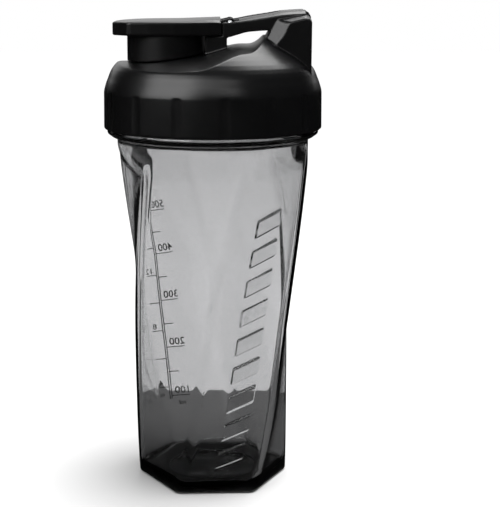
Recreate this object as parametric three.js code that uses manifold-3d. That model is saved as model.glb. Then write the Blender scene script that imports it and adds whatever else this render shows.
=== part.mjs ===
// Protein shaker bottle: a twisted six-sided clear vessel, a screw lid with a carry loop,
// and a hinged flip cap that plugs the spout. Millimetres, +Z up along the vessel's axis,
// origin at the centre of the vessel's base. The spout is towards -X, the loop's post towards +X.
import * as THREE from 'three';
import { mergeVertices } from 'three/addons/utils/BufferGeometryUtils.js';
import Module from 'manifold-3d';

const wasm = await Module();
wasm.setup();

// ---------------------------------------------------------------- driving dimensions
const GAP = 0.3;                 // clearance between pieces that touch
const WALL = 2.3;                // vessel wall
const BASE_CORNER = 38.05;       // centre to hexagon corner at the base
const CORNER_GROWTH = 0.0605;    // growth of that radius per millimetre of height
const CORNER_FILLET = 4.5;       // rounding of the hexagon's corners
const TWIST = [1.5, 0.578, -6.185e-3, 4.4915e-5, -1.098e-7];  // degrees, in powers of the height
const ROUND_START = 156;         // facets start to fade into the round collar
const ROUND_END = 171;
const COLLAR_R = 46.6;
const FLOOR = 4;                 // inside floor of the vessel
const FLANGE_TOP = 177.2;
const NECK_R = 46.4;
const NECK_BORE_R = 43.4;
const RIM = 198.5;

const LID_R = 53;
const LID_EDGE = FLANGE_TOP + GAP;
const LID_BORE_R = 49.6;
const LID_LAND = 201.2;          // underside that presses the gasket
const LIP_R = 40.9;              // inside of the lid's plug ring, which hangs inside the neck
const LIP_OUT_R = 42.7;
const LIP_END = 196.5;
const DECK_LOW = 209.4;          // top deck at its lowest, beyond the spout
const FLUTES = 15;
const FLUTE_R = 9;
const FLUTE_DEPTH = 0.55;

const THREAD_PITCH = 6;
const THREAD_TURNS = 1.25;
const THREAD_START = 182;

const SPOUT_X = -22;
const SPOUT_R = 11.5;
const SPOUT_BORE_R = 9.3;
const SPOUT_TOP = 220;

const CAP_UNDER = 222.3;         // underside of the flip cap's plate
const CAP_EDGE_TOP = 228.6;
const CAP_HALF = 20.6;
const CAP_SEAM_X = 4.1;
const CAP_SEAM_HALF = 15.2;
const BARREL_R = 19.3;
const BARREL_WALL = 2;
const SEAL_RING_R = 15.2;        // ring under the plate that holds the spout seal
const SEAL_RING_WALL = 1.3;

const ARM_OUT = 14.4;            // loop arms: outer and inner faces, either side of Y = 0
const ARM_IN = 7.8;
const POST_OUT = 18;
const POST_END_X = 46.6;
const HINGE_X = 8.3;
const HINGE_Z = 228;
const LUG_MID = 11.1;            // hinge lugs: middle and half width
const LUG_HALF = 1.4;
const PIN_R = 1.1;
const KNUCKLE_R = 2.4;

// ---------------------------------------------------------------- mesh helpers
const point = (u, v) => new THREE.Vector2(u, v);

// A closed triangle mesh made into a solid with its faces pointing out.
function solid(positions, triangles) {
  const at = (i) => new THREE.Vector3().fromArray(positions, 3 * i);
  let volume = 0;
  for (let t = 0; t < triangles.length; t += 3) {
    volume += at(triangles[t]).dot(at(triangles[t + 1]).cross(at(triangles[t + 2])));
  }
  if (volume < 0) triangles.reverse();
  return new wasm.Manifold(new wasm.Mesh({
    numProp: 3,
    vertProperties: Float32Array.from(positions),
    triVerts: Uint32Array.from(triangles),
  }));
}

function fromGeometry(geometry) {
  geometry.deleteAttribute('normal');
  geometry.deleteAttribute('uv');
  const merged = mergeVertices(geometry, 1e-4);
  return solid(Array.from(merged.attributes.position.array), Array.from(merged.index.array));
}

// A profile of [radius, height] pairs turned about the Z axis, moved sideways to x.
function turned(profile, segments = 64, x = 0) {
  const lathe = new THREE.LatheGeometry(profile.map(([r, z]) => point(r, z)), segments);
  return fromGeometry(lathe.rotateX(Math.PI / 2).translate(x, 0, 0));
}

// An upright ring or disc between two radii and two heights.
function ring(inner, outer, low, high, segments = 64, x = 0) {
  const profile = [[inner, low], [outer, low], [outer, high], [inner, high]];
  if (inner > 0) profile.push(profile[0]);
  return turned(profile, segments, x);
}

// A flat outline in X and Y, extruded between two heights, with an optional rounded edge.
function prism(outline, low, high, bevel = 0) {
  const shape = new THREE.Shape(outline.map(([x, y]) => point(x, y)));
  const options = {
    depth: high - low - 2 * bevel, steps: 1, bevelEnabled: bevel > 0,
    bevelThickness: bevel, bevelSize: bevel, bevelOffset: -bevel, bevelSegments: 2,
  };
  return fromGeometry(new THREE.ExtrudeGeometry(shape, options).translate(0, 0, low + bevel));
}

// Rings of points with equal counts, skinned one to the next and closed with flat ends.
function skin(rings, endTriangles) {
  const count = rings[0].length;
  const triangles = [];
  for (let r = 0; r + 1 < rings.length; r += 1) {
    for (let i = 0; i < count; i += 1) {
      const a = r * count + i;
      const b = r * count + ((i + 1) % count);
      triangles.push(a, b, b + count, a, b + count, a + count);
    }
  }
  const last = (rings.length - 1) * count;
  for (const [i, j, k] of endTriangles) triangles.push(i, k, j, last + i, last + j, last + k);
  return solid(rings.flat(2), triangles);
}

// Triangles that fill an outline, wound the same way round as the outline itself.
function flatFaces(outline) {
  const points = outline.map(([u, v]) => point(u, v));
  const clockwise = THREE.ShapeUtils.isClockWise(points);
  return THREE.ShapeUtils.triangulateShape(points, []).map(([i, j, k]) => {
    const agrees = THREE.ShapeUtils.isClockWise([points[i], points[j], points[k]]) === clockwise;
    return agrees ? [i, j, k] : [i, k, j];
  });
}

// Outlines in X and Z with equal counts, each at its own place along Y, joined by straight sides.
function sideSkin(sections) {
  const rings = sections.map(([y, outline]) => outline.map(([x, z]) => [x, y, z]));
  return skin(rings, flatFaces(sections[0][1]));
}

// One outline in X and Z, carried straight along Y.
const sideBlock = (outline, from, to) => sideSkin([[from, outline], [to, outline]]);

const join = (...parts) => parts.reduce((sum, part) => sum.add(part));
const mirrorY = (part) => part.mirror([0, 1, 0]);

// ---------------------------------------------------------------- vessel
// Radius of a hexagon with rounded corners, at an angle from one of its corners.
function hexagonRadius(angle, corner, fillet) {
  const sector = Math.PI / 3;
  const offset = Math.abs(THREE.MathUtils.euclideanModulo(angle + sector / 2, sector) - sector / 2);
  const centre = corner - fillet / Math.cos(sector / 2);
  const arcEnd = Math.atan2(fillet * Math.sin(sector / 2), centre + fillet * Math.cos(sector / 2));
  if (offset >= arcEnd) return (corner * Math.cos(sector / 2)) / Math.cos(sector / 2 - offset);
  const side = centre * Math.cos(offset);
  return side + Math.sqrt(side * side - centre * centre + fillet * fillet);
}

// Points around one sixth of the vessel, in degrees from a corner: close together on the corner.
const OUTSIDE_ANGLES = [-3.6, 0, 3.6, 12, 21, 30, 39, 48];
const INSIDE_ANGLES = [-3.6, 3.6, 12, 24, 36, 48];

function vesselRing(z, inset, angles) {
  const corner = BASE_CORNER + CORNER_GROWTH * z;
  const turn = THREE.MathUtils.degToRad(TWIST.reduce((sum, factor, power) => sum + factor * z ** power, 0));
  const fade = THREE.MathUtils.smoothstep(z, ROUND_START, ROUND_END);
  const points = [];
  for (let side = 0; side < 6; side += 1) {
    for (const degrees of angles) {
      const angle = THREE.MathUtils.degToRad(60 * side + degrees);
      const hexagon = hexagonRadius(angle, corner, CORNER_FILLET);
      const radius = THREE.MathUtils.lerp(hexagon, COLLAR_R, fade) - inset;
      points.push([radius * Math.cos(angle + turn), radius * Math.sin(angle + turn), z]);
    }
  }
  return points;
}

function vesselSkin(heights, insets, angles) {
  const rings = heights.map((z, i) => vesselRing(z, insets[i], angles));
  return skin(rings, flatFaces(rings[0]));
}

// Even steps from one number to another.
function steps(from, to, count) {
  return Array.from({ length: count + 1 }, (_, i) => from + ((to - from) * i) / count);
}

// A trapezoid ridge that climbs around the axis; out is +1 on a shaft and -1 in a bore.
function threadRidge(rootR, crestR, out) {
  const perTurn = 30;
  const total = Math.round(perTurn * THREAD_TURNS);
  const rings = [];
  for (let i = 0; i <= total; i += 1) {
    const angle = (2 * Math.PI * i) / perTurn;
    const fade = Math.min(1, i / 3, (total - i) / 3);
    const crest = rootR + (crestR - rootR) * Math.max(fade, 0.1);
    const z = THREAD_START + (THREAD_PITCH * i) / perTurn;
    const section = [[rootR - 0.5 * out, z], [rootR, z], [crest, z + 0.8], [crest, z + 1.6],
      [rootR, z + 2.4], [rootR - 0.5 * out, z + 2.4]];
    rings.push(section.map(([r, h]) => [r * Math.cos(angle), r * Math.sin(angle), h]));
  }
  return skin(rings, [[0, 1, 2], [0, 2, 3], [0, 3, 4], [0, 4, 5]]);
}

function bottle() {
  const heights = [0, 1.6, ...steps(12, ROUND_START, 12), 160.5, 165.5, ROUND_END];
  const outside = vesselSkin(heights, heights.map((z) => (z === 0 ? 1.2 : 0)), OUTSIDE_ANGLES);
  const insideHeights = [FLOOR, FLOOR + 3, ...steps(16, ROUND_START, 9), 163.5, ROUND_END + 0.5];
  const insets = insideHeights.map((z) => (z === FLOOR ? WALL + 3 : WALL));
  const inside = vesselSkin(insideHeights, insets, INSIDE_ANGLES);
  const collar = turned([[0, ROUND_END - 0.5], [COLLAR_R, ROUND_END - 0.5], [COLLAR_R, 172.4], [47.8, 173.4],
    [49.9, 174.6], [51.4, 175.8], [51.4, FLANGE_TOP], [NECK_R, FLANGE_TOP], [NECK_R, RIM - 0.8],
    [NECK_R - 0.8, RIM], [0, RIM]], 60);
  const bore = turned([[0, ROUND_END], [COLLAR_R - WALL, ROUND_END], [NECK_BORE_R, 176],
    [NECK_BORE_R, RIM + 1], [0, RIM + 1]], 48);
  const punt = turned([[0, -1], [25, -1], [24, 0.9], [0, 1.6]], 36);
  return join(outside, collar, threadRidge(NECK_R, NECK_R + 1.7, 1)).subtract(join(inside, bore, punt));
}

// ---------------------------------------------------------------- lid
// Height of the lid's top deck: it climbs from the spout to the loop, then sweeps up to the post.
function deckHeight(x, y) {
  const climb = 4 * THREE.MathUtils.smoothstep(x, -46, 2) + 4.4 * THREE.MathUtils.smoothstep(x, -8, 14);
  const sweep = 0.075 * Math.max(0, x - 17) ** 2;
  return DECK_LOW + climb + sweep - 0.0024 * y * y;
}

// Everything above the deck, as a block to cut away.
function aboveDeck(lift) {
  const xs = [...steps(-50, 14, 16), ...steps(16, 32, 8)];
  const ys = steps(-48, 48, 16);
  const top = DECK_LOW + 36;
  const rows = xs.length;
  const cols = ys.length;
  const positions = [];
  for (const level of [0, 1]) {
    for (const x of xs) for (const y of ys) positions.push(x, y, level ? top : deckHeight(x, y) + lift);
  }
  const triangles = [];
  const at = (level, i, j) => level * rows * cols + i * cols + j;
  const quad = (a, b, c, d) => triangles.push(a, b, c, a, c, d);
  for (let i = 0; i + 1 < rows; i += 1) {
    for (let j = 0; j + 1 < cols; j += 1) {
      quad(at(0, i, j), at(0, i, j + 1), at(0, i + 1, j + 1), at(0, i + 1, j));
      quad(at(1, i, j), at(1, i + 1, j), at(1, i + 1, j + 1), at(1, i, j + 1));
    }
  }
  for (let i = 0; i + 1 < rows; i += 1) {
    quad(at(0, i, 0), at(0, i + 1, 0), at(1, i + 1, 0), at(1, i, 0));
    quad(at(0, i + 1, cols - 1), at(0, i, cols - 1), at(1, i, cols - 1), at(1, i + 1, cols - 1));
  }
  for (let j = 0; j + 1 < cols; j += 1) {
    quad(at(0, 0, j + 1), at(0, 0, j), at(1, 0, j), at(1, 0, j + 1));
    quad(at(0, rows - 1, j), at(0, rows - 1, j + 1), at(1, rows - 1, j + 1), at(1, rows - 1, j));
  }
  return solid(positions, triangles);
}

// Skirt, shoulder and domed flank as one turned body, before the deck is cut into it.
function lidDome() {
  return turned([[0, LID_EDGE], [LID_R - 0.4, LID_EDGE], [LID_R, LID_EDGE + 0.6], [LID_R - 0.2, 195.5],
    [52.1, 198.2], [51.4, 200.3], [50.5, 202.2], [49.8, 204.2], [49, 206.1], [47.5, 208], [45.7, 209.9],
    [42.9, 212], [38, 215.2], [34, 218], [30, 220.3], [26, 222], [0, 222]], 60);
}

function skirtFlutes() {
  const cutters = steps(0, FLUTES - 1, FLUTES - 1).map((i) => {
    const angle = (2 * Math.PI * (i + 0.5)) / FLUTES;
    const away = LID_R + FLUTE_R - FLUTE_DEPTH;
    const cutter = new THREE.CylinderGeometry(FLUTE_R, FLUTE_R, 19.5, 20).rotateX(Math.PI / 2);
    return fromGeometry(cutter.translate(away * Math.cos(angle), away * Math.sin(angle), 186));
  });
  return join(...cutters);
}

// The loop's outlines in X and Z.
const ARM_UNDER = [[4.6, 221.2], [7, 221.3], [11, 222.4], [16, 223.8], [22, 224.4], [30, 224.9],
  [44, 226]];
const ARM_TOP = [[44, 232.4], [33.3, 231.7], [26.4, 230.6], [18, 229.3], [10.9, 228.5], [4.6, 228.2]];
const ARM_CROWN = [2, 2, 2, 2, 1.4, 0.9];  // rise of each top point towards the slot between the arms
const POST_OUTLINE_IN = [[20.5, 213], [24.6, 219.6], [27.8, 225.2], [29.6, 228.5], [30.9, 229.8],
  [34.9, 230.2], [43.3, 231.6], [45.4, 231.2], [POST_END_X, 229.6], [POST_END_X, 204]];
const POST_OUTLINE_OUT = [[25.5, 213], [29.8, 218.2], [32.4, 221.1], [34.1, 223.7], [35.5, 227],
  [36.7, 228.5], [43.4, 230.3], [45, 230.2], [POST_END_X, 228.6], [POST_END_X, 204]];
const POST_CROWN = [[27, 219], [27.8, 225.2], [30, 231.4], [33.5, 233.4], [42, 234], [45.2, 233.2],
  [POST_END_X, 231], [POST_END_X, 206]];

function carryLoop() {
  const crowned = ARM_TOP.map(([x, z], i) => [x, z + ARM_CROWN[i]]);
  const arm = sideSkin([[-ARM_OUT, [...ARM_UNDER, ...ARM_TOP]], [-ARM_IN, [...ARM_UNDER, ...crowned]]]);
  const post = sideSkin([[-POST_OUT, POST_OUTLINE_OUT], [-ARM_OUT, POST_OUTLINE_IN],
    [ARM_OUT, POST_OUTLINE_IN], [POST_OUT, POST_OUTLINE_OUT]]);
  const crown = sideBlock(POST_CROWN, -ARM_IN - 2, ARM_IN + 2);
  const legOutline = [[-3.7, DECK_LOW], [6.7, DECK_LOW], [6.7, 221.9], [-3.7, 221.9]];
  const leg = sideBlock(legOutline, -ARM_OUT + 0.1, -ARM_IN - 0.1);
  return join(arm, mirrorY(arm), post, crown, leg, mirrorY(leg));
}

// Slots in the arms' tops for the flip cap's lugs, with the pins' holes through their cheeks.
function hingeSlots() {
  const low = HINGE_Z - KNUCKLE_R - 0.5;
  const side = LUG_HALF + GAP;
  const end = HINGE_X + 4;
  const outline = [[4, LUG_MID - side], [end, LUG_MID - side], [end, LUG_MID + side], [4, LUG_MID + side]];
  const slot = prism(outline, low, HINGE_Z + 6);
  const hole = pinCylinder(PIN_R + GAP, ARM_IN - 1, ARM_OUT - 0.6);
  return join(slot, mirrorY(slot), hole, mirrorY(hole));
}

function pinCylinder(radius, from, to) {
  const cylinder = new THREE.CylinderGeometry(radius, radius, to - from, 20);
  return fromGeometry(cylinder.translate(HINGE_X, (from + to) / 2, HINGE_Z));
}

// The hollow of the lid: bore, space above the plug ring, and cores under the deck and in the post.
function lidInside() {
  const bore = turned([[0, LID_EDGE - 1], [LID_BORE_R, LID_EDGE - 1], [LID_BORE_R, LID_LAND],
    [LIP_OUT_R, LID_LAND], [LIP_OUT_R, LIP_END], [LIP_R, LIP_END], [LIP_R, 206], [34, 207.4], [0, 208]], 48);
  const hump = prism([[5, -22], [25, -20], [25, 20], [5, 22]], 206.5, 213.2);
  const postCore = prism([[30.5, -13.6], [36.5, -13], [36.5, 13], [30.5, 13.6]], 206, 224);
  return join(bore, hump, postCore);
}

function lidShell() {
  const spout = ring(0, SPOUT_R, DECK_LOW - 1, SPOUT_TOP, 40, SPOUT_X);
  const spoutBore = ring(0, SPOUT_BORE_R, 200, SPOUT_TOP + 1, 40, SPOUT_X);
  const top = lidDome().subtract(aboveDeck(0));
  return join(top, carryLoop(), spout)
    .subtract(join(lidInside(), spoutBore, skirtFlutes(), hingeSlots()))
    .add(threadRidge(LID_BORE_R, LID_BORE_R - 0.9, -1));
}

const lidGasket = () => ring(43.1, 47.6, RIM + GAP, LID_LAND - GAP, 48);

// ---------------------------------------------------------------- flip cap
function capPlate() {
  const half = [[CAP_SEAM_X, CAP_SEAM_HALF], [-2, 17.6], [-10, 19.6], [-18, CAP_HALF],
    [-38.6, CAP_HALF - 0.6], [-40.4, 19], [-47.2, 10.4], [-47.7, 9]];
  const outline = [...half.map(([x, y]) => [x, -y]), ...half.toReversed()];
  const inset = 2.4;
  const crown = outline.map(([x, y]) => [x > 0 ? x - 0.8 : x + inset, y - Math.sign(y) * inset]);
  const slab = prism(outline, CAP_UNDER, CAP_EDGE_TOP, 0.5);
  return slab.add(prism(crown, CAP_EDGE_TOP - 2, CAP_EDGE_TOP + 0.8, 0.5));
}

function capLug() {
  const knuckle = pinCylinder(KNUCKLE_R, LUG_MID - LUG_HALF, LUG_MID + LUG_HALF);
  const neckOutline = [[2, 224], [4.2, 225.4], [HINGE_X, 225.7], [HINGE_X, 230.3], [2, 229]];
  const neck = sideBlock(neckOutline, LUG_MID - LUG_HALF, LUG_MID + LUG_HALF);
  return knuckle.add(neck).subtract(pinCylinder(PIN_R + GAP, LUG_MID - 3, LUG_MID + 3));
}

function flipCap() {
  const barrel = ring(BARREL_R - BARREL_WALL, BARREL_R, DECK_LOW - 4, CAP_UNDER + 1, 56, SPOUT_X)
    .intersect(aboveDeck(0.5));
  const sealRing = ring(SEAL_RING_R - SEAL_RING_WALL, SEAL_RING_R, 219.5, CAP_UNDER + 1, 40, SPOUT_X);
  const lug = capLug();
  const tongueOutline = [[2, CAP_UNDER + 0.5], [6.2, CAP_UNDER + 0.5], [6.2, 227.4], [2, 227.4]];
  const tongue = sideBlock(tongueOutline, -ARM_IN + 1, ARM_IN - 1);
  return join(capPlate(), barrel, sealRing, tongue, lug, mirrorY(lug));
}

function spoutSeal() {
  return turned([[0, 217.4], [6.6, 217.4], [7.3, 218], [8.3, SPOUT_TOP + GAP], [13.6, SPOUT_TOP + GAP],
    [13.6, CAP_UNDER - GAP], [0, CAP_UNDER - GAP]], 40, SPOUT_X);
}

const hingePin = (side) => {
  const pin = pinCylinder(PIN_R, ARM_IN + 0.2, ARM_OUT - 0.9);
  return side < 0 ? mirrorY(pin) : pin;
};

// ---------------------------------------------------------------- assembly
const materials = {
  smoke: { color: 0x6f7276, roughness: 0.08, metalness: 0, transparent: true, opacity: 0.45 },
  black: { color: 0x141416, roughness: 0.38, metalness: 0 },
  silicone: { color: 0x8d9094, roughness: 0.7, metalness: 0 },
  steel: { color: 0xb9bcc0, roughness: 0.3, metalness: 1 },
};

const shaker = new THREE.Group();

function place(name, part, look) {
  const { vertProperties, triVerts, numProp } = part.getMesh();
  if (numProp !== 3) throw new Error(`unexpected vertex layout in ${name}`);
  const geometry = new THREE.BufferGeometry();
  geometry.setAttribute('position', new THREE.BufferAttribute(vertProperties, 3));
  geometry.setIndex(new THREE.BufferAttribute(triVerts, 1));
  geometry.computeVertexNormals();
  const mesh = new THREE.Mesh(geometry, new THREE.MeshStandardMaterial(materials[look]));
  mesh.name = name;
  shaker.add(mesh);
}

place('bottle', bottle(), 'smoke');
place('lid_shell', lidShell(), 'black');
place('lid_gasket', lidGasket(), 'silicone');
place('flip_cap', flipCap(), 'black');
place('spout_seal', spoutSeal(), 'silicone');
place('hinge_pin_front', hingePin(-1), 'steel');
place('hinge_pin_back', hingePin(1), 'steel');

export default shaker;
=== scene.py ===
"""Looks of the protein shaker bottle: a clear twisted vessel with a printed scale, a black screw
lid with its carry loop, and a hinged flip cap. Sizes are in millimetres until a mesh is made."""
import math

import bmesh
import bpy
import numpy as np
from mathutils import Matrix, Vector


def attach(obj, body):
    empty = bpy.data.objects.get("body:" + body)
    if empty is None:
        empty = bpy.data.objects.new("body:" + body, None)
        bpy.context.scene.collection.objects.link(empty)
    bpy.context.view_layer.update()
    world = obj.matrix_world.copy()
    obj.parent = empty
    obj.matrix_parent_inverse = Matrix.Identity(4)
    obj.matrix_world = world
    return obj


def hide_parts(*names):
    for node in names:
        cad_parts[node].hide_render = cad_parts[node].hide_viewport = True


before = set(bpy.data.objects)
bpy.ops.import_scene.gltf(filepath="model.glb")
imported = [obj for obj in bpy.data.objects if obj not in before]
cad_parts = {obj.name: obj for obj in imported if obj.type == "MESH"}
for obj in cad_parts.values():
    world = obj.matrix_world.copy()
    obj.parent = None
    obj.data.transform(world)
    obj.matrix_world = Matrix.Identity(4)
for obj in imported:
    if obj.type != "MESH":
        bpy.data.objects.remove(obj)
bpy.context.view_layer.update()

MM = 0.001

# ---------------------------------------------------------------- driving dimensions
WALL = 2.3
BASE_CORNER = 38.05
CORNER_GROWTH = 0.0605
CORNER_FILLET = 4.5
INNER_FILLET = 6.5
# The twist in degrees, as the factors of the powers of the height.
TWIST = (1.5, 0.578, -6.185e-3, 4.4915e-5, -1.098e-7)
ROUND_START, ROUND_END = 156, 171
COLLAR_R = 46.6
FLOOR = 4.0
FLANGE_TOP = 177.2
NECK_R, NECK_BORE_R, RIM = 46.4, 43.4, 198.5

THREAD_PITCH, THREAD_TURNS, THREAD_START = 6.0, 1.25, 182.0

LID_R, LID_EDGE, LID_BORE_R, LID_LAND = 53.0, 177.5, 49.6, 201.2
LIP_R, LIP_OUT_R, LIP_END = 40.9, 42.7, 196.5
DECK_LOW = 209.4
FLUTES, FLUTE_R, FLUTE_DEPTH = 15, 9.0, 0.55

SPOUT_X, SPOUT_R, SPOUT_BORE_R, SPOUT_TOP = -22.0, 11.5, 9.3, 220.0
CAP_UNDER, CAP_EDGE_TOP, CAP_HALF = 222.3, 228.6, 20.6
CAP_SEAM_X, CAP_SEAM_HALF = 4.1, 15.2
BARREL_R, BARREL_WALL = 19.3, 2.0
SEAL_RING_R, SEAL_RING_BORE_R = 15.2, 13.9
TONGUE_END, TONGUE_TOP = 6.2, 227.4

ARM_OUT, ARM_IN, POST_OUT, POST_END_X = 14.4, 7.8, 18.0, 46.6
HINGE_X, HINGE_Z = 8.3, 228.0
LUG_MID, LUG_HALF, KNUCKLE_R, PIN_R = 11.1, 1.4, 2.4, 1.1
GAP = 0.3


def smoothstep(x, low, high):
    """Rises smoothly from 0 at low to 1 at high."""
    t = np.clip((np.asarray(x, dtype=float) - low) / (high - low), 0, 1)
    return t * t * (3 - 2 * t)


# ---------------------------------------------------------------- mesh helpers
def mesh_object(name, points, faces):
    """A mesh object from points in millimetres, with its faces pointing out."""
    mesh = bpy.data.meshes.new(name)
    mesh.from_pydata((np.asarray(points, dtype=float) * MM).tolist(), [], faces)
    work = bmesh.new()
    work.from_mesh(mesh)
    bmesh.ops.recalc_face_normals(work, faces=work.faces)
    work.to_mesh(mesh)
    work.free()
    mesh.polygons.foreach_set("use_smooth", [True] * len(mesh.polygons))
    made = bpy.data.objects.new(name, mesh)
    bpy.context.scene.collection.objects.link(made)
    return made


def skinned(name, rings, closed=False):
    """Rings of points with equal counts joined one to the next, with flat ends unless closed."""
    rings = [np.asarray(ring, dtype=float) for ring in rings]
    count = len(rings[0])
    links = len(rings) if closed else len(rings) - 1
    faces = []
    for r in range(links):
        a, b = r * count, ((r + 1) % len(rings)) * count
        faces += [(a + i, a + (i + 1) % count, b + (i + 1) % count, b + i) for i in range(count)]
    if not closed:
        last = (len(rings) - 1) * count
        faces.append(tuple(range(count))[::-1])
        faces.append(tuple(range(last, last + count)))
    return mesh_object(name, np.vstack(rings), faces)


def turned(name, profile, segments=192, x=0.0):
    """A profile of (radius, height) pairs turned about a vertical axis at x.
    A profile that starts and ends at radius 0 is closed by single points there."""
    angles = np.linspace(0, 2 * math.pi, segments, endpoint=False)
    on_axis = profile[0][0] == 0 and profile[-1][0] == 0
    body = profile[1:-1] if on_axis else profile
    rings = [np.c_[x + r * np.cos(angles), r * np.sin(angles), np.full(segments, z)] for r, z in body]
    if not on_axis:
        return skinned(name, rings, closed=True)
    points = np.vstack(rings + [[[x, 0, profile[0][1]]], [[x, 0, profile[-1][1]]]])
    low, high = len(points) - 2, len(points) - 1
    last = (len(rings) - 1) * segments
    faces = []
    for r in range(len(rings) - 1):
        a = r * segments
        faces += [(a + i, a + (i + 1) % segments, a + segments + (i + 1) % segments, a + segments + i)
                  for i in range(segments)]
    for i in range(segments):
        faces.append((low, (i + 1) % segments, i))
        faces.append((high, last + i, last + (i + 1) % segments))
    return mesh_object(name, points, faces)


def circle(x, y, radius, count):
    around = np.linspace(0, 2 * math.pi, count, endpoint=False)
    return [(x + radius * math.cos(angle), y + radius * math.sin(angle)) for angle in around]


def prism(name, outline, low, high):
    """An outline in plan, raised from one height to another."""
    return skinned(name, [[(x, y, low) for x, y in outline], [(x, y, high) for x, y in outline]])


def side_skin(name, sections):
    """Side outlines of (x, z) points with equal counts, each at its own y, joined one to the next."""
    return skinned(name, [[(x, y, z) for x, z in outline] for y, outline in sections])


def side_block(name, outline, start, end):
    return side_skin(name, [(start, outline), (end, outline)])


def mirror_y(piece):
    twin = bpy.data.objects.new(piece.name + "_twin", piece.data.copy())
    bpy.context.scene.collection.objects.link(twin)
    twin.data.transform(Matrix.Diagonal((1, -1, 1, 1)))
    twin.data.flip_normals()
    return twin


def combine(base, others, operation):
    """Joins or cuts whole solids, one after another; the others are used up."""
    for other in others:
        change = base.modifiers.new("combine", "BOOLEAN")
        change.operation, change.object, change.solver = operation, other, "MANIFOLD"
        settle(base)
        bpy.data.objects.remove(other, do_unlink=True)


def settle(piece):
    """Replaces a piece's mesh by what its modifiers make of it."""
    depsgraph = bpy.context.evaluated_depsgraph_get()
    mesh = bpy.data.meshes.new_from_object(piece.evaluated_get(depsgraph))
    piece.modifiers.clear()
    old = piece.data
    piece.data = mesh
    bpy.data.meshes.remove(old)


def softened(piece, voxel, rounds, keep):
    """Rounds a joined solid's edges and corners as a mould does, on an even mesh."""
    remesh = piece.modifiers.new("even", "REMESH")
    remesh.mode, remesh.voxel_size, remesh.use_smooth_shade = "VOXEL", voxel * MM, True
    soften = piece.modifiers.new("soften", "SMOOTH")
    soften.factor, soften.iterations = 0.5, rounds
    fewer = piece.modifiers.new("fewer", "DECIMATE")
    fewer.ratio = keep
    settle(piece)
    piece.data.polygons.foreach_set("use_smooth", [True] * len(piece.data.polygons))


def finish_piece(piece, body, slot, material, *nodes):
    piece.data.materials.clear()
    piece.data.materials.append(material)
    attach(piece, body)
    if nodes:
        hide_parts(*nodes)


# ---------------------------------------------------------------- materials
def new_material(name):
    material = bpy.data.materials.new(name)
    material.use_nodes = True
    nodes, links = material.node_tree.nodes, material.node_tree.links
    return material, nodes, links, nodes["Principled BSDF"]


def add_noise(nodes, links, scale, detail, low, high, socket):
    """Noise mapped to a range and joined to a socket; returns the noise's own output."""
    place = nodes.new("ShaderNodeTexCoord")
    noise = nodes.new("ShaderNodeTexNoise")
    noise.inputs["Scale"].default_value = scale
    noise.inputs["Detail"].default_value = detail
    links.new(place.outputs["Object"], noise.inputs["Vector"])
    spread = nodes.new("ShaderNodeMapRange")
    spread.inputs["To Min"].default_value = low
    spread.inputs["To Max"].default_value = high
    links.new(noise.outputs["Fac"], spread.inputs["Value"])
    links.new(spread.outputs["Result"], socket)
    return noise.outputs["Fac"]


def add_bump(nodes, links, height, strength, distance, shader):
    bump = nodes.new("ShaderNodeBump")
    bump.inputs["Strength"].default_value = strength
    bump.inputs["Distance"].default_value = distance
    links.new(height, bump.inputs["Height"])
    links.new(bump.outputs["Normal"], shader.inputs["Normal"])


def smoke_plastic():
    material, nodes, links, shader = new_material("smoke_plastic")
    shader.inputs["Base Color"].default_value = (0.88, 0.88, 0.885, 1)
    shader.inputs["Transmission Weight"].default_value = 1.0
    shader.inputs["IOR"].default_value = 1.5
    flow = add_noise(nodes, links, 38, 2, 0.01, 0.05, shader.inputs["Roughness"])
    add_bump(nodes, links, flow, 0.10, 0.0006, shader)
    smoke = nodes.new("ShaderNodeVolumeAbsorption")
    smoke.inputs["Color"].default_value = (0.20, 0.205, 0.21, 1)
    smoke.inputs["Density"].default_value = 175
    links.new(smoke.outputs["Volume"], nodes["Material Output"].inputs["Volume"])
    return material


def black_plastic():
    material, nodes, links, shader = new_material("black_plastic")
    colour = nodes.new("ShaderNodeValToRGB")
    colour.color_ramp.elements[0].color = (0.0018, 0.0018, 0.002, 1)
    colour.color_ramp.elements[1].color = (0.0032, 0.0032, 0.0035, 1)
    shader.inputs["Specular IOR Level"].default_value = 0.38
    cloud = add_noise(nodes, links, 55, 3, 0.26, 0.36, shader.inputs["Roughness"])
    links.new(cloud, colour.inputs["Fac"])
    links.new(colour.outputs["Color"], shader.inputs["Base Color"])
    grain = nodes.new("ShaderNodeTexNoise")
    grain.inputs["Scale"].default_value = 2600
    grain.inputs["Detail"].default_value = 2
    place = nodes.new("ShaderNodeTexCoord")
    links.new(place.outputs["Object"], grain.inputs["Vector"])
    add_bump(nodes, links, grain.outputs["Fac"], 0.10, 0.0001, shader)
    return material


def silicone():
    material, nodes, links, shader = new_material("silicone")
    shader.inputs["Base Color"].default_value = (0.24, 0.245, 0.25, 1)
    shader.inputs["Sheen Weight"].default_value = 0.25
    dust = add_noise(nodes, links, 160, 4, 0.55, 0.75, shader.inputs["Roughness"])
    add_bump(nodes, links, dust, 0.15, 0.0002, shader)
    return material


def pin_steel():
    material, nodes, links, shader = new_material("pin_steel")
    shader.inputs["Base Color"].default_value = (0.6, 0.61, 0.62, 1)
    shader.inputs["Metallic"].default_value = 1.0
    drawn = add_noise(nodes, links, 900, 3, 0.18, 0.38, shader.inputs["Roughness"])
    add_bump(nodes, links, drawn, 0.1, 0.00005, shader)
    return material


def scale_ink():
    material, nodes, links, shader = new_material("scale_ink")
    shader.inputs["Base Color"].default_value = (0.015, 0.015, 0.017, 1)
    film = add_noise(nodes, links, 500, 2, 0.4, 0.6, shader.inputs["Roughness"])
    add_bump(nodes, links, film, 0.1, 0.00005, shader)
    return material


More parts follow.
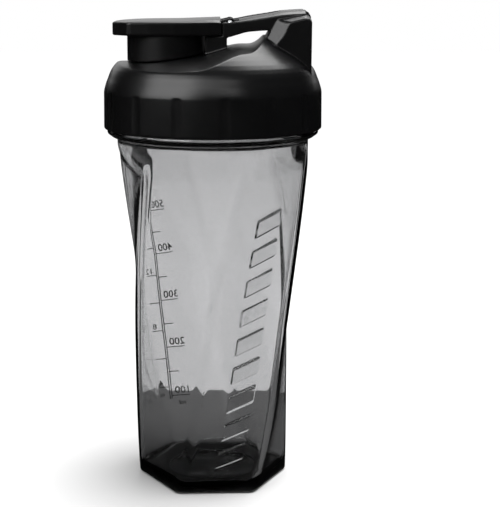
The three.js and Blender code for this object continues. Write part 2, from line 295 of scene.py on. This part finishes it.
# ---------------------------------------------------------------- vessel
def twist_at(z):
    """How far the section has turned at a height, in radians."""
    return math.radians(sum(factor * z ** power for power, factor in enumerate(TWIST)))


def hexagon_radius(angle, corner, fillet):
    """Radius of a hexagon with rounded corners, at angles measured from one of its corners."""
    sector = math.pi / 3
    offset = np.abs((angle + sector / 2) % sector - sector / 2)
    centre = corner - fillet / math.cos(sector / 2)
    arc_end = np.arctan2(fillet * 0.5, centre + fillet * math.cos(sector / 2))
    flat = corner * math.cos(sector / 2) / np.cos(sector / 2 - offset)
    side = centre * np.cos(offset)
    arc = side + np.sqrt(np.maximum(side * side - centre * centre + fillet ** 2, 0))
    return np.where(offset >= arc_end, flat, arc)


def vessel_radius(angle, z, fillet):
    """Radius of the vessel's six-sided section at an angle that turns with the twist."""
    hexagon = hexagon_radius(angle, BASE_CORNER + CORNER_GROWTH * z, fillet)
    fade = smoothstep(z, ROUND_START, ROUND_END)
    return hexagon * (1 - fade) + COLLAR_R * fade


# The raised motif: slanted bars in a row up the facet that faces forward at the base.
MOTIF_FACET = math.radians(-90)
MOTIF_SHIFT, MOTIF_TOP = 3.0, 150
FACET_R = 40.0
BAR_COUNT = 9
BAR_LOW, BAR_PITCH = 20.0, 14.4
BAR_WIDTH, BAR_HEIGHT, BAR_SLANT, BAR_RELIEF, BAR_CORNER = 14.5, 8.0, 0.32, 0.8, 0.6


def motif_height(angle, z):
    """How far the bars stand out, from each point's distance to the outline of its bar."""
    middle = MOTIF_SHIFT * (1 - z / MOTIF_TOP)
    across = (angle - MOTIF_FACET) * FACET_R - middle
    height = np.zeros_like(angle)
    for i in range(BAR_COUNT):
        up = z - (BAR_LOW + BAR_PITCH * i) - BAR_SLANT * across
        out_x = np.abs(across) - (BAR_WIDTH / 2 - BAR_CORNER)
        out_z = np.abs(up) - (BAR_HEIGHT / 2 - BAR_CORNER)
        outside = np.hypot(np.maximum(out_x, 0), np.maximum(out_z, 0))
        distance = outside + np.minimum(np.maximum(out_x, out_z), 0) - BAR_CORNER
        height = np.maximum(height, BAR_RELIEF * smoothstep(-distance, -0.2, 0.35))
    return height


def vessel_angles():
    """Angles around the vessel: close together on the facet with the motif."""
    low, high = MOTIF_FACET - math.radians(30), MOTIF_FACET + math.radians(30)
    fine = np.linspace(low, high, 150, endpoint=False)
    coarse = np.linspace(high, low + 2 * math.pi, 240, endpoint=False)
    return np.r_[fine, coarse]


def neck_thread(angle, z):
    """Height of the screw ridge above the neck, at true angles around the axis."""
    turns = (angle % (2 * math.pi)) / (2 * math.pi)
    height = np.zeros_like(angle)
    for lap in (0, 1):
        along = turns + lap
        rise = z - THREAD_START - THREAD_PITCH * along
        ridge = smoothstep(rise, 0, 0.8) * (1 - smoothstep(rise, 1.6, 2.4))
        fade = smoothstep(along, 0, 0.08) * (1 - smoothstep(along, THREAD_TURNS - 0.08, THREAD_TURNS))
        height = np.maximum(height, 1.7 * ridge * fade)
    return height


# Round stretches of the vessel as (radius, height), and edges of its facets as (inset, height).
FOOT_RECESS = ((4, 1.75), (12, 1.6), (20, 1.25), (23.6, 0.85), (24.6, 0.35), (25.4, 0.0))
FOOT_EDGE = ((3.0, 0.0), (1.5, 0.0), (0.75, 0.2), (0.3, 0.6), (0.05, 1.2))
FLANGE = ((46.6, 171.2), (46.6, 172.0), (46.75, 172.6), (47.2, 173.0), (48.2, 173.4), (49.3, 173.9),
          (49.9, 174.4), (50.1, 174.75), (50.8, 175.0), (51.2, 175.35), (51.4, 175.8), (51.4, 176.9),
          (51.2, 177.15), (50.8, FLANGE_TOP), (47.2, FLANGE_TOP), (46.5, 177.35))
NECK_END = ((NECK_R, RIM - 0.9), (NECK_R - 0.25, RIM - 0.3), (NECK_R - 0.9, RIM),
            (NECK_BORE_R + 0.9, RIM), (NECK_BORE_R + 0.25, RIM - 0.3), (NECK_BORE_R, RIM - 0.9))
SHOULDER_INSIDE = ((NECK_BORE_R, 176.0), (43.6, 174.5), (44.0, 172.6), (44.3, 171.2))
FLOOR_EDGE = ((2.35, 8.6), (2.6, 7.2), (3.1, 6.0), (3.9, 5.0), (5.0, 4.4), (6.4, 4.1))


def build_vessel(material):
    """The vessel as one skin: under the foot, up the outside, over the rim and down the inside."""
    angles = vessel_angles()
    rings = []

    def add(radius, z):
        around = angles + twist_at(z)
        rings.append(np.c_[radius * np.cos(around), radius * np.sin(around), np.full(len(around), z)])

    def add_circles(profile):
        for radius, z in profile:
            add(np.full(len(angles), radius), z)

    def add_facets(z, inset, fillet):
        add(vessel_radius(angles, z, fillet) - inset, z)

    add_circles(FOOT_RECESS)
    for inset, z in FOOT_EDGE:
        add_facets(z, inset, CORNER_FILLET)
    for z in np.r_[np.arange(1.8, MOTIF_TOP, 0.55), np.arange(MOTIF_TOP, ROUND_END, 0.8)]:
        add(vessel_radius(angles, z, CORNER_FILLET) + motif_height(angles, z), z)
    add_circles(FLANGE)
    for z in np.arange(177.8, RIM - 1.0, 0.4):
        add(NECK_R + neck_thread(angles + twist_at(z), z), z)
    add_circles(NECK_END)
    add_circles((NECK_BORE_R, z) for z in np.arange(RIM - 3, SHOULDER_INSIDE[0][1], -3))
    add_circles(SHOULDER_INSIDE)
    for z in np.arange(170.0, FLOOR + 5, -1.6):
        add_facets(z, WALL, INNER_FILLET)
    for inset, z in FLOOR_EDGE:
        add_facets(z, inset, INNER_FILLET)
    add_circles((radius, FLOOR) for radius in (22, 14, 6))
    vessel = skinned("bottle_vessel", rings)
    finish_piece(vessel, "bottle", "smoke_plastic", material, "bottle")


# ---------------------------------------------------------------- printed scale
# Millilitres with their heights, and heights with the angle of the scale's upright line there.
ML_MARKS = ((100, 30.6), (200, 57.5), (300, 83.3), (400, 108.6), (500, 131.7))
SPINE = ((20, 125.0), (31, 126.5), (57.5, 129.9), (83, 133.9), (108.5, 137.5), (132, 143.6),
         (150, 149.5))
OZ_PER_ML = 1 / 29.57
SCALE_R = 38.0
INK_LIFT, INK_THICK = 0.03, 0.12
SPINE_HALF, SPINE_WIDTH, MARK_WIDTH = 0.45, 0.38, 0.4
LONG_MARK, SHORT_MARK, OZ_MARK = 9.5, 5.0, 5.6
ML_SIZE, OZ_SIZE, UNIT_SIZE = 5.4, 4.2, 3.6


def scale_line_angle(z):
    """True angle, from +X, of the scale's upright line at a height."""
    heights, turns = zip(*SPINE)
    return math.radians(float(np.interp(z, heights, turns)))


def on_vessel(true_angle, z, lift):
    """The point at a true angle and height that lies off the vessel's outside by the lift."""
    section_angle = np.array([true_angle - twist_at(z)])
    radius = float(vessel_radius(section_angle, z, CORNER_FILLET)[0]) + lift
    return radius * math.cos(true_angle), radius * math.sin(true_angle), z


def mark_height(millilitres):
    """Height of a volume's mark, on past the last known one at the same spacing."""
    known, heights = zip(*ML_MARKS)
    if millilitres > known[-1]:
        slope = (heights[-1] - heights[-2]) / (known[-1] - known[-2])
        return heights[-1] + slope * (millilitres - known[-1])
    return float(np.interp(millilitres, known, heights))


def wrap_flat(flat, base_z):
    """Lays flat (x, y) points in millimetres on the vessel, x along it and y up."""
    placed = []
    for x, y in flat:
        z = base_z + y
        placed.append((scale_line_angle(z) + x / SCALE_R, z))
    return placed


def ink_strip(x0, y0, x1, y1, width, base_z):
    """A closed thin band from one flat point to another, bent to the vessel."""
    run = math.hypot(x1 - x0, y1 - y0)
    count = max(2, int(run / 0.8) + 1)
    across = (-(y1 - y0) / run * width / 2, (x1 - x0) / run * width / 2)
    rings = []
    for t in np.linspace(0, 1, count):
        x, y = x0 + (x1 - x0) * t, y0 + (y1 - y0) * t
        edges = [(x - across[0], y - across[1]), (x + across[0], y + across[1])]
        (a0, z0), (a1, z1) = wrap_flat(edges, base_z)
        rings.append([on_vessel(a0, z0, INK_LIFT), on_vessel(a1, z1, INK_LIFT),
                      on_vessel(a1, z1, INK_LIFT + INK_THICK), on_vessel(a0, z0, INK_LIFT + INK_THICK)])
    return skinned("ink", rings)


def ink_text(words, size, x, y, base_z):
    """Figures and unit marks from the built-in font, as thin closed solids on the vessel."""
    curve = bpy.data.curves.new("figures", "FONT")
    curve.body, curve.size, curve.align_x, curve.extrude = words, size, "CENTER", 0.5
    curve.resolution_u, curve.offset = 3, 0.006 * size
    holder = bpy.data.objects.new("figures", curve)
    bpy.context.scene.collection.objects.link(holder)
    mesh = bpy.data.meshes.new_from_object(holder.evaluated_get(bpy.context.evaluated_depsgraph_get()))
    bpy.data.objects.remove(holder, do_unlink=True)
    for vertex in mesh.vertices:
        (angle, z), = wrap_flat([(x + vertex.co.x, y + vertex.co.y)], base_z)
        lift = INK_LIFT + (INK_THICK if vertex.co.z > 0 else 0)
        vertex.co = Vector(on_vessel(angle, z, lift)) * MM
    made = bpy.data.objects.new("figures", mesh)
    bpy.context.scene.collection.objects.link(made)
    return made


def join_meshes(name, pieces):
    with bpy.context.temp_override(active_object=pieces[0], selected_editable_objects=pieces,
                                   selected_objects=pieces, object=pieces[0]):
        bpy.ops.object.join()
    pieces[0].name = name
    return pieces[0]


def build_scale(material):
    """Two close upright lines with millilitres on one side and fluid ounces on the other."""
    low, top = mark_height(100), mark_height(540)
    pieces = []
    for offset in (-SPINE_HALF, SPINE_HALF):
        pieces.append(ink_strip(offset, -2.0, offset, top - low, SPINE_WIDTH, low))
    for volume in range(100, 550, 50):
        z = mark_height(volume)
        numbered = volume % 100 == 0
        length = LONG_MARK if numbered else SHORT_MARK
        pieces.append(ink_strip(-SPINE_HALF, 0, -length, 0, MARK_WIDTH, z))
        if numbered:
            pieces.append(ink_text(str(volume), ML_SIZE, -6.0, 1.2, z))
    for ounces in range(4, 18, 2):
        z = mark_height(ounces / OZ_PER_ML)
        pieces.append(ink_strip(SPINE_HALF, 0, OZ_MARK, 0, MARK_WIDTH, z))
        if ounces % 4 == 0:
            pieces.append(ink_text(str(ounces), OZ_SIZE, 4.2, 1.0, z))
    pieces.append(ink_text("ml", UNIT_SIZE, -5.2, -5.2, low))
    pieces.append(ink_text("oz", UNIT_SIZE, 4.6, -5.2, mark_height(4 / OZ_PER_ML)))
    scale = join_meshes("volume_scale", pieces)
    finish_piece(scale, "bottle", "scale_ink", material)


# ---------------------------------------------------------------- lid
def deck_height(x, y):
    """Height of the lid's deck, which climbs from the spout and sweeps up into the post."""
    climb = DECK_LOW + 4.0 * smoothstep(x, -46, 2) + 4.4 * smoothstep(x, -8, 14)
    sweep = 0.075 * np.maximum(0, x - 17) ** 2
    return climb + sweep - 0.0024 * y * y


def above_deck(lift):
    """Everything above the deck, as a block to cut away."""
    xs, ys = np.arange(-50, 32.5, 1.0), np.arange(-48, 48.5, 2.0)
    grid_x, grid_y = np.meshgrid(xs, ys, indexing="ij")
    low = np.c_[grid_x.ravel(), grid_y.ravel(), (deck_height(grid_x, grid_y) + lift).ravel()]
    high = np.c_[low[:, :2], np.full(len(low), 245.0)]
    rows, cols = len(xs), len(ys)

    def at(level, i, j):
        return level * rows * cols + i * cols + j

    faces = []
    for i in range(rows - 1):
        for j in range(cols - 1):
            faces.append((at(0, i, j), at(0, i, j + 1), at(0, i + 1, j + 1), at(0, i + 1, j)))
            faces.append((at(1, i, j), at(1, i + 1, j), at(1, i + 1, j + 1), at(1, i, j + 1)))
        faces.append((at(0, i, 0), at(0, i + 1, 0), at(1, i + 1, 0), at(1, i, 0)))
        end = cols - 1
        faces.append((at(0, i + 1, end), at(0, i, end), at(1, i, end), at(1, i + 1, end)))
    for j in range(cols - 1):
        faces.append((at(0, 0, j + 1), at(0, 0, j), at(1, 0, j), at(1, 0, j + 1)))
        end = rows - 1
        faces.append((at(0, end, j), at(0, end, j + 1), at(1, end, j + 1), at(1, end, j)))
    return mesh_object("above_deck", np.vstack([low, high]), faces)


LID_PROFILE = [(0, LID_EDGE), (LID_R - 0.5, LID_EDGE), (LID_R, LID_EDGE + 0.5), (LID_R - 0.2, 195.3),
               (52.5, 196.8), (52.1, 198.2), (51.4, 200.3), (50.6, 202.2), (49.85, 204.2), (48.9, 206.1),
               (47.5, 208), (45.6, 209.9), (42.9, 212), (40.5, 213.65), (38, 215.2), (36, 216.6), (34, 218),
               (32, 219.2), (30, 220.3), (26, 222), (0, 222)]


def skirt_flutes():
    """Cutters for the shallow grip hollows around the skirt."""
    cutters = []
    away = LID_R + FLUTE_R - FLUTE_DEPTH
    for i in range(FLUTES):
        angle = 2 * math.pi * (i + 0.5) / FLUTES
        outline = circle(away * math.cos(angle), away * math.sin(angle), FLUTE_R, 96)
        cutters.append(prism("flute", outline, LID_EDGE - 1.5, 195.7))
    return cutters


def smooth_outline(points, per_span=6):
    """An open run of points made smooth with a Catmull-Rom curve."""
    points = [np.asarray(p, dtype=float) for p in points]
    padded = [2 * points[0] - points[1]] + points + [2 * points[-1] - points[-2]]
    run = []
    for a, b, c, d in zip(padded, padded[1:], padded[2:], padded[3:]):
        for t in np.linspace(0, 1, per_span, endpoint=False):
            run.append(tuple(0.5 * (2 * b + (c - a) * t + (2 * a - 5 * b + 4 * c - d) * t ** 2
                                    + (3 * b - a - 3 * c + d) * t ** 3)))
    return run + [tuple(points[-1])]


# The carry loop's side outlines as (x, z): its arms, then its post.
ARM_UNDER = [(4.6, 221.2), (7, 221.3), (11, 222.4), (16, 223.8), (22, 224.4), (30, 224.9), (44, 226)]
ARM_TOP = [(44, 232.4), (33.3, 231.7), (26.4, 230.6), (18, 229.3), (10.9, 228.5), (4.6, 228.2)]
ARM_CROWN = [2, 2, 2, 2, 1.4, 0.9]
POST_IN = [(20.5, 213), (24.6, 219.6), (27.8, 225.2), (29.6, 228.5), (30.9, 229.8), (34.9, 230.2),
           (43.3, 231.6), (45.4, 231.2), (POST_END_X, 229.6), (POST_END_X, 204)]
POST_OUTSIDE = [(25.5, 213), (29.8, 218.2), (32.4, 221.1), (34.1, 223.7), (35.5, 227), (36.7, 228.5),
                (43.4, 230.3), (45, 230.2), (POST_END_X, 228.6), (POST_END_X, 204)]
POST_CROWN = [(27, 219), (27.8, 225.2), (30, 231.4), (33.5, 233.4), (42, 234), (45.2, 233.2),
              (POST_END_X, 231), (POST_END_X, 206)]


def carry_loop():
    """Two arms that rise to a crown in the middle, the post they end in, and a leg under each."""
    under, top = smooth_outline(ARM_UNDER), smooth_outline(ARM_TOP)

    def crowned(share):
        return under + smooth_outline([(x, z + share * rise) for (x, z), rise in zip(ARM_TOP, ARM_CROWN)])

    outer, middle, inner = under + top, crowned(0.6), crowned(1)
    arm = side_skin("arm", [(-ARM_OUT, outer), (-ARM_OUT + 2.4, middle), (-ARM_IN, inner)])
    post_in = smooth_outline(POST_IN[:7]) + POST_IN[7:]
    post_out = smooth_outline(POST_OUTSIDE[:7]) + POST_OUTSIDE[7:]
    post = side_skin("post", [(-POST_OUT, post_out), (-ARM_OUT, post_in), (ARM_OUT, post_in),
                              (POST_OUT, post_out)])
    crown = side_block("crown", smooth_outline(POST_CROWN[:5]) + POST_CROWN[5:], -ARM_IN - 2, ARM_IN + 2)
    leg_outline = [(-3.7, 209), (6.7, 209), (6.7, 221.9), (-3.7, 221.9)]
    leg = side_block("leg", leg_outline, -ARM_OUT + 0.1, -ARM_IN - 0.1)
    return [arm, mirror_y(arm), post, crown, leg, mirror_y(leg)]


def pin_body(radius, start, end):
    """A round bar along the hinge's axis."""
    return side_block("pin", circle(HINGE_X, HINGE_Z, radius, 64), start, end)


def hinge_slots():
    """Cutters for the lugs' slots in the arms and for the holes of the pins."""
    side = LUG_HALF + GAP
    end = HINGE_X + 4
    outline = [(4, LUG_MID - side), (end, LUG_MID - side), (end, LUG_MID + side), (4, LUG_MID + side)]
    slot = prism("slot", outline, HINGE_Z - 2.9, HINGE_Z + 6)
    hole = pin_body(PIN_R + GAP, ARM_IN - 1, ARM_OUT - 0.6)
    return [slot, mirror_y(slot), hole, mirror_y(hole)]


def lid_inside():
    """Cutters for the bore around the neck, the hollow under the deck and the core of the post."""
    bore = turned("bore", [(0, LID_EDGE - 1), (LID_BORE_R, LID_EDGE - 1), (LID_BORE_R, LID_LAND),
                           (LIP_OUT_R, LID_LAND), (LIP_OUT_R, LIP_END), (LIP_R, LIP_END), (LIP_R, 206),
                           (34, 207.4), (0, 208)])
    hump = prism("hump", [(5, -22), (25, -20), (25, 20), (5, 22)], 206.5, 213.2)
    core = prism("core", [(30.5, -13.6), (36.5, -13), (36.5, 13), (30.5, 13.6)], 206, 224)
    return [bore, hump, core]


def lid_thread():
    """The screw ridge inside the skirt, which thins out at both ends."""
    rings = []
    root = LID_BORE_R
    for t in np.linspace(0, 1, 200):
        angle = 2 * math.pi * THREAD_TURNS * t
        z = THREAD_START + THREAD_PITCH * THREAD_TURNS * t
        crest = root - 0.9 * max(0.1, min(1, 16 * t, 16 * (1 - t)))
        section = [(root + 0.5, z), (root, z), (crest, z + 0.8), (crest, z + 1.6), (root, z + 2.4),
                   (root + 0.5, z + 2.4)]
        rings.append([(r * math.cos(angle), r * math.sin(angle), h) for r, h in section])
    return skinned("lid_thread", rings)


def build_lid(material):
    lid = turned("screw_lid", LID_PROFILE, 256)
    combine(lid, [above_deck(0)], "DIFFERENCE")
    spout = turned("spout", [(0, 208), (SPOUT_R, 208), (SPOUT_R, SPOUT_TOP), (0, SPOUT_TOP)], 128, SPOUT_X)
    combine(lid, carry_loop() + [spout], "UNION")
    bore = turned("spout_bore", [(0, 200), (SPOUT_BORE_R, 200), (SPOUT_BORE_R, 221), (0, 221)], 128, SPOUT_X)
    combine(lid, lid_inside() + [bore] + hinge_slots() + skirt_flutes(), "DIFFERENCE")
    combine(lid, [lid_thread()], "UNION")
    softened(lid, 0.42, 4, 0.3)
    finish_piece(lid, "lid", "black_plastic", material, "lid_shell")


# ---------------------------------------------------------------- flip cap
CAP_OUTLINE_HALF = [(CAP_SEAM_X, CAP_SEAM_HALF), (-2, 17.6), (-10, 19.6), (-18, CAP_HALF), (-30, CAP_HALF),
                    (-38.6, CAP_HALF - 0.6), (-40.4, 19), (-47.2, 10.4), (-47.7, 9)]


def cap_plate():
    """The plate, with a crowned top that climbs from the spout towards the loop."""
    near = [(x, -y) for x, y in CAP_OUTLINE_HALF]
    outline = near + CAP_OUTLINE_HALF[::-1]
    sections = []
    for inset, z in ((0.5, CAP_UNDER), (0.0, CAP_UNDER + 0.5), (0.0, CAP_EDGE_TOP - 0.5),
                     (0.5, CAP_EDGE_TOP)):
        sections.append([(x - math.copysign(inset, x), y - math.copysign(inset, y), z) for x, y in outline])
    for inset, rise in ((3.0, 0.45), (8.0, 0.95), (14.0, 1.2)):
        ring = []
        for x, y in outline:
            scale = 1 - inset / CAP_HALF
            px = SPOUT_X + (x - SPOUT_X) * scale if x < 0 else x - 0.5
            climb = 0.9 * float(smoothstep(px, -22, 4)) * (1 - scale + 0.25)
            ring.append((px, y * scale, CAP_EDGE_TOP + rise + climb))
        sections.append(ring)
    return skinned("flip_top", sections)


def cap_lug():
    """A bored knuckle on the hinge's axis with the neck that joins it to the plate."""
    knuckle = pin_body(KNUCKLE_R, LUG_MID - LUG_HALF, LUG_MID + LUG_HALF)
    neck = side_block("neck", [(2, 224), (4.2, 225.4), (HINGE_X, 225.7), (HINGE_X, 230.3), (2, 229)],
                      LUG_MID - LUG_HALF, LUG_MID + LUG_HALF)
    combine(knuckle, [neck], "UNION")
    combine(knuckle, [pin_body(PIN_R + GAP, LUG_MID - 3, LUG_MID + 3)], "DIFFERENCE")
    return knuckle


def upright_tube(name, inner, outer, low, high):
    profile = [(inner, low), (outer, low), (outer, high), (inner, high)]
    return turned(name, profile, 160, SPOUT_X)


def build_cap(material):
    cap = cap_plate()
    barrel = upright_tube("barrel", BARREL_R - BARREL_WALL, BARREL_R, 205, CAP_UNDER + 1)
    combine(barrel, [above_deck(0.5)], "INTERSECT")
    seal_ring = upright_tube("seal_ring", SEAL_RING_BORE_R, SEAL_RING_R, 219.5, CAP_UNDER + 1)
    lug = cap_lug()
    tongue = side_block("tongue", [(2, CAP_UNDER + 0.5), (TONGUE_END, CAP_UNDER + 0.5),
                                   (TONGUE_END, TONGUE_TOP), (2, TONGUE_TOP)], -ARM_IN + 1, ARM_IN - 1)
    combine(cap, [barrel, seal_ring, tongue, lug, mirror_y(lug)], "UNION")
    softened(cap, 0.28, 3, 0.3)
    finish_piece(cap, "cap", "black_plastic", material, "flip_cap")


# ---------------------------------------------------------------- seals and pins
def build_seals(material):
    """The stepped plug under the flip cap, and the ring with a grooved top that seals the rim."""
    plug = turned("spout_plug", [(0, 217.4), (5.8, 217.4), (6.5, 217.6), (6.9, 218.0), (7.4, 218.5),
                                 (8.2, 220.1), (8.6, 220.3), (13.2, 220.3), (13.5, 220.45), (13.6, 220.8),
                                 (13.6, 221.6), (13.4, 221.9), (13.1, 222.0), (0, 222.0)], 128, SPOUT_X)
    finish_piece(plug, "cap", "silicone", material, "spout_seal")
    gasket = turned("rim_gasket", [(43.4, 198.8), (47.3, 198.8), (47.55, 199.0), (47.6, 199.4),
                                   (47.6, 200.4), (47.4, 200.8), (47.1, 200.9), (46.0, 200.9),
                                   (45.6, 200.6), (45.2, 200.6), (44.8, 200.9), (43.6, 200.9),
                                   (43.2, 200.7), (43.1, 200.3), (43.1, 199.1)])
    finish_piece(gasket, "gasket", "silicone", material, "lid_gasket")


def build_pins(material):
    for side, node in ((-1, "hinge_pin_front"), (1, "hinge_pin_back")):
        sections = [(side * y, circle(HINGE_X, HINGE_Z, radius, 48))
                    for y, radius in ((8.0, 0.8), (8.3, PIN_R), (13.2, PIN_R), (13.5, 0.8))]
        pin = side_skin(node.replace("hinge_pin", "cap_pin"), sections)
        finish_piece(pin, "lid", "pin_steel", material, node)


# ---------------------------------------------------------------- studio
FLOOR_HALF = 4.0
# Dark boards that only reflections meet, as name, centre, size and turn in degrees: the unlit room.
ROOM = (
    ("wall_left", (-1.1, 0, 0.6), (2.6, 1.8), (90, 0, 90)),
    ("wall_right", (1.1, 0, 0.6), (2.6, 1.8), (90, 0, 90)),
    ("wall_front", (0, -1.2, 0.6), (2.6, 1.8), (90, 0, 0)),
    ("wall_back", (0, 1.3, 0.1), (2.6, 0.5), (90, 0, 0)),
    ("ceiling", (0, 0, 1.4), (2.6, 2.6), (0, 0, 0)),
    ("floor_dark", (0, 0.1, 0.0012), (2.6, 2.6), (0, 0, 0)),
)
# Dark boards that only rays through the clear plastic meet: they paint dark refractions along its edges and
# its corners, and painted shade in its base.
BEHIND_VESSEL = (
    ("frame_left", (-0.52, 0.3, 0.35), (0.62, 0.9), (90, 0, -24)),
    ("frame_right", (0.44, 0.3, 0.35), (0.62, 0.9), (90, 0, 24)),
    ("back_high", (0, 1.0, 0.37), (2.4, 0.46), (90, 0, 0)),
    ("streak_right", (0.07, 0.10, 0.10), (0.035, 0.22), (90, 0, 0)),
    ("streak_left", (-0.075, 0.30, 0.16), (0.03, 0.16), (90, 0, 0)),
    ("sky_board", (0, 0.2, 0.62), (1.6, 1.2), (0, 0, 0)),
    # Painted shadow under the base, met only through the plastic.
    ("base_dark", (0, 0, 0.0006), (0.10, 0.10), (0, 0, 0)),
)


def plain_material(name, level, strength=0.0):
    """A matt neutral paint, which also gives off light where the strength is above 0."""
    material, _, _, shader = new_material(name)
    colour = (level, level, level)
    shader.inputs["Base Color"].default_value = (*colour, 1)
    shader.inputs["Roughness"].default_value = 0.9
    shader.inputs["Specular IOR Level"].default_value = 0.0
    shader.inputs["Emission Color"].default_value = (*colour, 1)
    shader.inputs["Emission Strength"].default_value = strength
    return material


def flat_board(name, half_x, half_y, material):
    mesh = bpy.data.meshes.new(name)
    corners = [(-half_x, -half_y, 0), (half_x, -half_y, 0), (half_x, half_y, 0), (-half_x, half_y, 0)]
    mesh.from_pydata(corners, [], [(0, 1, 2, 3)])
    mesh.materials.append(material)
    board = bpy.data.objects.new(name, mesh)
    bpy.context.scene.collection.objects.link(board)
    return board


def card(name, centre, size, rotation, material, sees):
    """A studio board that only the rays named in sees meet, reflected or through glass, never the camera."""
    board = flat_board(name, size[0] / 2, size[1] / 2, material)
    board.location, board.rotation_euler = centre, [math.radians(turn) for turn in rotation]
    board.visible_camera = board.visible_shadow = board.visible_diffuse = False
    board.visible_glossy = "gloss" in sees
    board.visible_transmission = "glass" in sees


def soft_light(name, location, target, size, power):
    """A rectangular lamp that faces the target."""
    light = bpy.data.lights.new(name, "AREA")
    light.shape, light.size, light.size_y, light.energy = "RECTANGLE", size[0], size[1], power
    holder = bpy.data.objects.new(name, light)
    holder.location = location
    direction = Vector(target) - Vector(location)
    holder.rotation_euler = direction.to_track_quat("-Z", "Y").to_euler()
    bpy.context.scene.collection.objects.link(holder)


def build_studio():
    floor = flat_board("floor", FLOOR_HALF, FLOOR_HALF, plain_material("floor_paint", 0.5))

    world = bpy.data.worlds.new("studio")
    bpy.context.scene.world = world
    world.use_nodes = True
    background = world.node_tree.nodes["Background"]
    background.inputs["Color"].default_value = (1, 1, 1, 1)
    background.inputs["Strength"].default_value = 1.0

    black = plain_material("black_board", 0.004)
    for name, centre, size, rotation in ROOM:
        card(name, centre, size, rotation, black, "gloss")
    for name, centre, size, rotation in BEHIND_VESSEL:
        card(name, centre, size, rotation, black, "glass")
    # The grey board paints shade on the floor seen through the vessel, and its far edge is the horizon
    # there; the bright one lights the lid's shoulder.
    grey = plain_material("grey_board", 0.10)
    card("floor_board", (0, -0.1, 0.001), (0.7, 0.46), (0, 0, 0), grey, "glass")
    bright = plain_material("bright_board", 1, 4.0)
    card("glow_left", (-0.66, -0.56, 0.66), (0.9, 0.6), (62, 0, -50), bright, "gloss")

    soft_light("back_top", (0.22, 0.34, 0.95), (0, 0, 0.21), (0.7, 0.5), 7)
    soft_light("front_top", (-0.20, -0.75, 0.80), (0, 0, 0.2), (1.5, 0.22), 3.2)

    sun = bpy.data.lights.new("overhead", "SUN")
    sun.energy, sun.angle = 3.4, math.radians(24)
    holder = bpy.data.objects.new("overhead", sun)
    holder.rotation_euler = Vector((-0.14, 0.03, -1)).to_track_quat("-Z", "Y").to_euler()
    holder.visible_glossy = False
    bpy.context.scene.collection.objects.link(holder)


def build_camera():
    camera = bpy.data.cameras.new("camera")
    camera.sensor_width, camera.lens = 36, 91.5
    camera.shift_x, camera.shift_y = 0.0734, 0.003
    holder = bpy.data.objects.new("camera", camera)
    holder.location = (0, -0.630, 0.2474)
    holder.rotation_euler = (math.radians(78), 0, 0)
    bpy.context.scene.collection.objects.link(holder)
    bpy.context.scene.camera = holder


build_camera()
black_look, silicone_look = black_plastic(), silicone()
build_vessel(smoke_plastic())
build_scale(scale_ink())
build_lid(black_look)
build_cap(black_look)
build_seals(silicone_look)
build_pins(pin_steel())
build_studio()
bpy.context.scene.view_settings.view_transform = "Standard"
